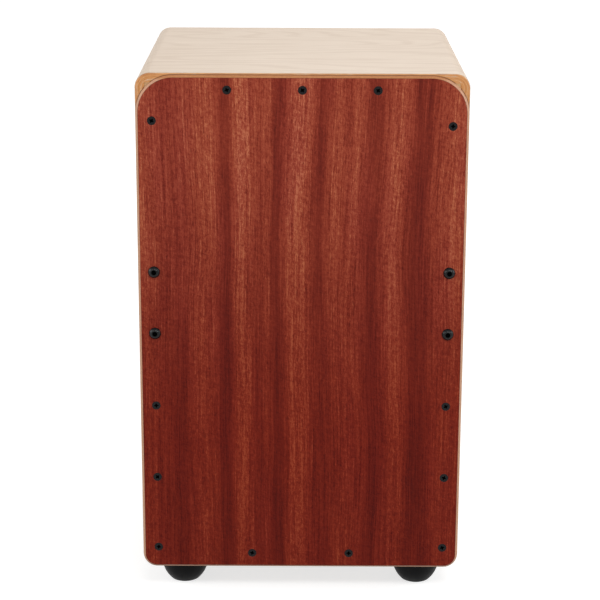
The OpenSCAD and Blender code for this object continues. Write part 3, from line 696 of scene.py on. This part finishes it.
def front_plate():
    b, t = PLATE_BEVEL, SHELL_Y - FRONT_Y
    lip = 0.12 * MM
    # (inset, depth from the face): a crisp but not razor-sharp line between face and bevel
    profile = [(b + lip * 2.4, 0.0), (b + lip, 0.01 * MM), (b, 0.05 * MM), (b - lip, lip * 1.1),
               (lip * 1.2, b - lip), (lip * 0.4, b), (0, b + lip), (0, t - 0.4 * MM), (0.35 * MM, t)]
    bm = bmesh.new()
    rings = [[bm.verts.new((x, FRONT_Y + depth, z)) for x, z in plate_outline(inset)]
             for inset, depth in profile]
    n = len(rings[0])
    for k, (a, c) in enumerate(zip(rings, rings[1:])):
        for i in range(n):
            j = (i + 1) % n
            bm.faces.new((a[i], a[j], c[j], c[i])).material_index = 0 if k < 2 else 1
    bm.faces.new(rings[0]).material_index = 0
    bm.faces.new(rings[-1]).material_index = 1
    obj = to_object(bm, "front_plate_dressed", VENEER, PLATE_EDGE)
    hole = bmesh.new()
    for c in plate_screws:
        place = Matrix.Translation((c.x, FRONT_Y, c.z)) @ FRONT_DEPTH
        lathe_bm(hole, screw_hole(5 * MM), 40, place)
    for c in bolt_places:
        place = Matrix.Translation((c.x, FRONT_Y, c.z)) @ FRONT_DEPTH
        lathe_bm(hole, [(0, -1 * MM), (3.1 * MM, -1 * MM), (3.1 * MM, 5 * MM), (0, 5 * MM)], 32, place)
    cut(obj, to_object(hole, "plate_holes"))
    return soften(obj, angle=28)


stands_for(front_plate(), "front_plate")

# ---------------------------------------------------------------- fasteners


def thread(r, root, start, end, pitch):
    """Ridges of a thread as lathe points from start to end."""
    pts, h = [], start
    while h + pitch <= end:
        pts += [(root, h), (r, h + 0.5 * pitch)]
        h += pitch
    return pts + [(root, h)]


def as_recess(*cutters):
    """Gives what the cutters leave behind an object's second material, which on black steel is the painted
    shade of the recess.
    """
    for c in cutters:
        for m in (BLACK_STEEL, RECESS_SHADE):   # the cut drops an index that its cutter has no slot for
            c.data.materials.append(m)
        c.data.polygons.foreach_set("material_index", [1] * len(c.data.polygons))
    return cutters


def wood_screw(length):
    """Countersunk cross-recessed screw, head at z = 0 and point towards +Z."""
    head_r, r = SCREW_HEAD_R, SCREW_R
    cone = head_r - r
    profile = [(0, 0.10 * MM), (head_r * 0.55, 0.07 * MM), (head_r - 0.35 * MM, 0.05 * MM),
               (head_r - 0.16 * MM, 0.12 * MM), (head_r - 0.05 * MM, 0.26 * MM),
               (head_r - 0.12 * MM, 0.45 * MM), (r, cone), (r, cone + 1.5 * MM)]
    profile += thread(r, r * 0.72, cone + 2.2 * MM, length - 3.2 * MM, 1.1 * MM)
    profile += [(r * 0.55, length - 1.8 * MM), (0.1 * MM, length - 0.1 * MM), (0, length - 0.05 * MM)]
    obj = lathe("wood_screw", profile, 36, Matrix.Identity(4), BLACK_STEEL, RECESS_SHADE)
    reach, depth, wide = head_r * 0.55, 1.7 * MM, head_r * 0.14
    bars = []
    for turn in (0, 90):
        place = Matrix.Rotation(math.radians(turn), 4, "Z")
        bar = bmesh.new()
        vs = []
        for z, grow in ((-0.5 * MM, 1.12), (depth, 0.4)):   # the bar narrows as it goes in
            x, y = reach * grow, wide * (0.6 + 0.4 * grow)
            vs += [bar.verts.new(place @ Vector((sx * x, sy * y, z)))
                   for sx, sy in ((-1, -1), (1, -1), (1, 1), (-1, 1))]
        for f in ((0, 1, 2, 3), (4, 5, 6, 7), (0, 1, 5, 4), (1, 2, 6, 5), (2, 3, 7, 6), (3, 0, 4, 7)):
            bar.faces.new([vs[i] for i in f])
        bars.append(to_object(bar, "bar"))
    well = lathe("well", [(0, -0.5 * MM), (head_r * 0.4, -0.5 * MM), (head_r * 0.2, depth * 0.75),
                          (0, depth * 1.05)], 24)
    return soften(cut(obj, *as_recess(*bars, well)), angle=30)


def screws(node, facing, length, material, turn):
    """Wood screws in place of a node's solids, each spun by a further turn degrees."""
    places = []
    for i, (c, lo, hi) in enumerate(solids_of(node)):
        head_y = lo.y if facing is FRONT_DEPTH else hi.y
        spin = Matrix.Rotation(math.radians(turn * i + 11), 4, "Z")
        places.append(Matrix.Translation((c.x, head_y, c.z)) @ facing @ spin)
    # Black screws take painted shade in their recesses; plated ones keep their own steel there.
    recess = RECESS_SHADE if material is BLACK_STEEL else material
    obj = copies(node + "_dressed", wood_screw(length), places, material, recess)
    return stands_for(obj, node)


screws("front_plate_screws", FRONT_DEPTH, 18 * MM, BLACK_STEEL, 37)
screws("back_panel_screws", REAR_DEPTH, 20 * MM, BLACK_STEEL, 53)
screws("end_plate_screws", REAR_DEPTH, 9 * MM, PLATED, 29)
screws("string_anchor_screws", REAR_DEPTH, 10 * MM, PLATED, 61)


def button_bolt(length):
    """Domed hex-socket bolt, underside of the head at z = 0 and shank towards +Z."""
    r, head_r, head_h, across = 3 * MM, 5.4 * MM, 3.3 * MM, 4 * MM
    land, flat = 0.75 * MM, 2.7 * MM
    rise = head_h - land
    # The cap's centre lies on the axis, behind the head.
    centre = ((head_r ** 2 - flat ** 2) / rise - head_h - land) / 2
    cap_r = math.hypot(flat, centre + head_h)
    profile = [(0, -head_h), (flat - 0.2 * MM, -head_h), (flat, -head_h + 0.03 * MM)]
    first, last = math.asin(flat / cap_r), math.asin(head_r / cap_r)
    for i in range(1, 15):
        a = first + (last - first) * i / 15
        profile.append((cap_r * math.sin(a), centre - cap_r * math.cos(a)))
    profile += [(head_r, -land), (head_r, -0.15 * MM), (head_r - 0.15 * MM, 0), (r + 0.1 * MM, 0),
                (r, 0.2 * MM), (r, length * 0.4)]
    profile += thread(r, r * 0.86, length * 0.42, length - 1.2 * MM, 1.0 * MM)
    profile += [(r * 0.72, length), (0, length)]
    obj = lathe("button_bolt", profile, 48, Matrix.Identity(4), BLACK_STEEL, RECESS_SHADE)
    top = -head_h
    socket = to_object(prism_bm(bmesh.new(), hexagon(across), top - MM, top + 0.62 * head_h), "socket")
    lead = lathe("lead", [(0, top - 0.5 * MM), (across * 0.5 + 0.7 * MM, top - 0.5 * MM),
                          (across * 0.5 - 0.1 * MM, top + 0.5 * MM), (0, top + 0.5 * MM)], 36)
    return soften(cut(obj, *as_recess(lead, socket)), angle=30)


bolt_len = high("crossbar_bolts").y - FRONT_Y
obj = copies("crossbar_bolts_dressed", button_bolt(bolt_len), [
    Matrix.Translation((c.x, FRONT_Y, c.z)) @ FRONT_DEPTH @ Matrix.Rotation(math.radians(17 + 23 * i), 4, "Z")
    for i, c in enumerate(bolt_places)], BLACK_STEEL, RECESS_SHADE)
stands_for(obj, "crossbar_bolts")

# ---------------------------------------------------------------- rubber feet


def foot(name):
    """A domed rubber foot with a straight rim above the dome and a recess for its screw."""
    lo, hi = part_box(name)
    at, h = (lo + hi) / 2, hi.z - lo.z
    r, flat, rim = 22.5 * MM, 13 * MM, 4 * MM
    bore, seat = 6.5 * MM, 17 * MM
    dome_h, inset = h - rim, r - flat
    dome_r = (inset ** 2 + dome_h ** 2) / (2 * inset)
    sweep = math.asin(dome_h / dome_r)
    lip = 0.5 * MM
    profile = [(0, h - 0.05 * MM), (r - lip, h - 0.05 * MM), (r - 0.15 * MM, h - 0.2 * MM),
               (r, h - lip - 0.1 * MM), (r, h - rim + 0.5 * MM), (r - 0.12 * MM, h - rim)]
    for i in range(1, 23):
        a = sweep * i / 22
        profile.append((r - dome_r + dome_r * math.cos(a), dome_h - dome_r * math.sin(a)))
    edge_r, _ = profile.pop()
    profile += [(edge_r + 0.14 * MM, 0.6 * MM), (edge_r - 0.25 * MM, 0.15 * MM), (edge_r - 0.9 * MM, 0.0),
                (bore + 0.9 * MM, 0.0), (bore + 0.25 * MM, 0.15 * MM), (bore, 0.7 * MM),
                (bore - 0.1 * MM, seat - 0.4 * MM), (bore - 0.5 * MM, seat), (0, seat)]
    obj = lathe(name + "_dressed", profile, 72, Matrix.Translation((at.x, at.y, lo.z)), RUBBER)
    return stands_for(soften(obj, angle=40), name)


for end in ("front", "rear"):
    for side in ("left", "right"):
        foot(f"foot_{end}_{side}")

# ---------------------------------------------------------------- back panel

BACK_LOOK = ply("birch_back_panel", lambda g: g.math("SUBTRACT", REAR_Y / MM, g.y), "z", "x", 141,
                layers=BACK_LAYERS, pale=(206, 168, 120), deep=(172, 126, 80))
lo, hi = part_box("back_panel")
bm = prism_bm(bmesh.new(), [(lo.x, lo.z), (hi.x, lo.z), (hi.x, hi.z), (lo.x, hi.z)], lo.y, hi.y)
for v in bm.verts:
    v.co = Vector((v.co.x, v.co.z, v.co.y))
back = soften(to_object(bm, "back_panel_dressed", BACK_LOOK), 0.4 * MM, 2)
t = hi.y - lo.y
round_out, round_in, clear = 1.6 * MM, 0.6 * MM, 2 * MM   # clear is how far the cutter reaches past
out_r, in_r = HOLE_R + round_out, HOLE_R + round_in
profile = [(0, -clear), (out_r + clear, -clear), (out_r + clear, -0.2 * MM)]
profile += [(out_r - round_out * math.sin(a), round_out - round_out * math.cos(a) - 0.00001)
            for a in (math.radians(10 * i) for i in range(10))]
profile += [(in_r - round_in * math.cos(a), t - round_in + round_in * math.sin(a) + 0.00001)
            for a in (math.radians(18 * i) for i in range(6))]
profile += [(in_r + clear, t + 0.2 * MM), (in_r + clear, t + clear), (0, t + clear)]
cut(back, lathe("sound_hole_cut", profile, 160, Matrix.Translation((0, REAR_Y, HOLE_Z)) @ REAR_DEPTH))
hole = bmesh.new()
for c, _, _ in solids_of("back_panel_screws"):
    lathe_bm(hole, screw_hole(8 * MM), 40, Matrix.Translation((c.x, REAR_Y, c.z)) @ REAR_DEPTH)
cut(back, to_object(hole, "back_holes"))
stands_for(soften(back, angle=32), "back_panel")

# ---------------------------------------------------------------- pieces that keep their CAD shape


def dressed(node, material, body=CABINET, width=0.4 * MM, segments=2, angle=40):
    """A copy of a CAD node with merged faces and rounded edges."""
    bm = bmesh.new()
    bm.from_mesh(NODES[node].data)
    bmesh.ops.remove_doubles(bm, verts=bm.verts, dist=2e-6)
    bmesh.ops.dissolve_limit(bm, angle_limit=math.radians(1), verts=bm.verts, edges=bm.edges)
    obj = to_object(bm, node + "_dressed", material)
    return stands_for(soften(obj, width, segments, angle), node, body)


# Two woods for each direction of grain, so that neighbours differ
RAIL_WOOD = {axis: [solid_wood(f"raw_wood_{axis}{i}", axis, first + 3 * i) for i in range(2)]
             for axis, first in (("x", 1), ("y", 2), ("z", 3))}
for i, end in enumerate(("front", "rear")):
    for j, place in enumerate(("top", "bottom")):
        dressed(f"{end}_rail_{place}", RAIL_WOOD["x"][(i + j) % 2])
    for j, place in enumerate(("left", "right")):
        dressed(f"{end}_rail_{place}", RAIL_WOOD["z"][(i + j) % 2])
for i, place in enumerate(("top_left", "top_right", "bottom_left", "bottom_right")):
    dressed("batten_" + place, RAIL_WOOD["y"][i % 2], width=0.5 * MM)
dressed("crossbar", RAIL_WOOD["x"][1], width=1.0 * MM, segments=3)
dressed("crossbar_felt", FELT, width=1.0 * MM, segments=3)
for side in ("left", "right"):
    dressed("end_plate_" + side, BLACK_STEEL)
    dressed("string_anchor_" + side, PLATED, width=0.3 * MM)
    dressed("carriage_" + side, BRASS, "carriage_" + side, width=0.35 * MM)
    dressed("tuning_screw_" + side, BLACK_STEEL, "tuner_" + side, width=0.2 * MM)
    dressed("stop_nut_" + side, PLATED, "tuner_" + side, width=0.25 * MM)
dressed("crossbar_nuts", PLATED, width=0.3 * MM)
dressed("tuning_screw_washers", PLATED, width=0.15 * MM)
dressed("foot_washers", PLATED, width=0.15 * MM)
dressed("foot_screws", PLATED, width=0.2 * MM)

# ---------------------------------------------------------------- strings


WIRE_R, BARREL_R = 0.45 * MM, 1.9 * MM
WIRE_ROWS = 60   # rings along a string
SIDEWAYS = Matrix.Rotation(math.radians(90), 4, "Y")


def strings(side):
    """A pair of strings with a barrel at each end."""
    bm = bmesh.new()
    parts = solids_of("strings_" + side)
    wire_y = SHELL_Y + 1.3 * MM
    for c, lo, hi in parts:
        z0, z1 = lo.z + BARREL_R, hi.z - BARREL_R
        wire = [(WIRE_R, z0 + (z1 - z0) * i / WIRE_ROWS) for i in range(WIRE_ROWS + 1)]
        lathe_bm(bm, [(0, z0)] + wire + [(0, z1)], 12, Matrix.Translation((c.x, wire_y, 0)))
        length, edge = 2 * BARREL_R, 0.3 * MM
        for z in (z0, z1):
            place = Matrix.Translation((c.x - BARREL_R, hi.y - BARREL_R, z)) @ SIDEWAYS
            lathe_bm(bm, [(0, 0), (BARREL_R - edge, 0), (BARREL_R, edge), (BARREL_R, length - edge),
                          (BARREL_R - edge, length), (0, length)], 24, place)
    obj = to_object(bm, f"strings_{side}_dressed", STRING_STEEL)
    soften(obj, angle=40)
    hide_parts("strings_" + side)
    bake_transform(obj)


for side in ("left", "right"):
    strings(side)

# ---------------------------------------------------------------- floor, light and camera


FLOOR_TONE = 0.5            # share of the light that the floor sends back
FLOOR_GLOW = (0.72, 0.95)   # added white for what the camera and gloss see, near the object and far off
WORLD_LIGHT = 0.27          # strength of the world for every other ray


def seen_directly(tree):
    """1 for rays that look at a surface: camera, glossy and transmission rays."""
    path = tree.nodes.new("ShaderNodeLightPath")
    total = path.outputs["Is Camera Ray"]
    for kind in ("Is Glossy Ray", "Is Transmission Ray"):
        add = tree.nodes.new("ShaderNodeMath")
        add.operation, add.use_clamp = "ADD", True
        tree.links.new(total, add.inputs[0])
        tree.links.new(path.outputs[kind], add.inputs[1])
        total = add.outputs[0]
    return total


def stage():
    """A pale floor that shows the object's shadow and fades to white far off."""
    g = Graph("floor")
    g.set(Base_Color=(FLOOR_TONE, FLOOR_TONE, FLOOR_TONE, 1.0), Roughness=0.95, Specular_IOR_Level=0.0,
          Emission_Color=(1.0, 1.0, 1.0, 1.0))
    away = g.math("SQRT", g.add(g.mul(g.x, g.x), g.mul(g.y, g.y)))
    glow = g.span(away, 500, 2500, *FLOOR_GLOW)
    g.feed(g.shader.inputs["Emission Strength"], g.mul(glow, seen_directly(g.tree)))
    bm = bmesh.new()
    far = 30.0
    bm.faces.new([bm.verts.new((sx * far, sy * far, 0)) for sx, sy in ((-1, -1), (1, -1), (1, 1), (-1, 1))])
    to_object(bm, "floor", g.mat)


def lamp(name, at, look_at, size, power):
    """A white area lamp of size (width, height) in metres and power in watts."""
    data = bpy.data.lights.new(name, "AREA")
    data.shape, data.size, data.size_y = "RECTANGLE", size[0], size[1]
    data.energy = power
    obj = bpy.data.objects.new(name, data)
    obj.location = at
    obj.rotation_euler = (Vector(look_at) - Vector(at)).to_track_quat("-Z", "Y").to_euler()
    bpy.context.scene.collection.objects.link(obj)


stage()
world = bpy.data.worlds.new("studio")
world.use_nodes = True
bpy.context.scene.world = world
tree = world.node_tree
background = tree.nodes["Background"]
level = tree.nodes.new("ShaderNodeMapRange")
level.inputs["To Min"].default_value = WORLD_LIGHT
level.inputs["To Max"].default_value = 1.0
tree.links.new(seen_directly(tree), level.inputs["Value"])
tree.links.new(level.outputs[0], background.inputs["Strength"])
background.inputs["Color"].default_value = (1, 1, 1, 1)

lamp("key_front", (0.2, -1.15, 1.3), (0, -0.15, 0.36), (0.8, 0.5), 5.8)
lamp("key_left", (-1.1, -1.2, 1.3), (0, -0.15, 0.3), (0.3, 0.3), 4)
lamp("key_right", (1.1, -1.2, 1.3), (0, -0.15, 0.3), (0.3, 0.3), 6)
lamp("fill_right", (1.6, -0.1, 0.8), (0, 0, 0.25), (1.0, 0.9), 9)
lamp("fill_left", (-1.6, -0.35, 0.8), (0, 0, 0.25), (1.0, 0.9), 10)
lamp("rear", (0.3, 1.4, 1.8), (0, 0.1, 0.3), (1.2, 0.8), 19)

camera_data = bpy.data.cameras.new("camera")
camera_data.sensor_width = 36
camera_data.lens = 115.0
camera_data.clip_end = 100
camera = bpy.data.objects.new("camera", camera_data)
turn = (Matrix.Rotation(math.radians(0.01), 4, "Z") @ Matrix.Rotation(math.radians(-15.86), 4, "X")
        @ Matrix.Rotation(math.radians(-0.24), 4, "Y") @ Matrix.Rotation(math.radians(90), 4, "X"))
camera.matrix_world = Matrix.Translation((-0.0011, -1.8411, 0.7719)) @ turn
bpy.context.scene.collection.objects.link(camera)
bpy.context.scene.camera = camera
bpy.context.scene.view_settings.view_transform = "Standard"
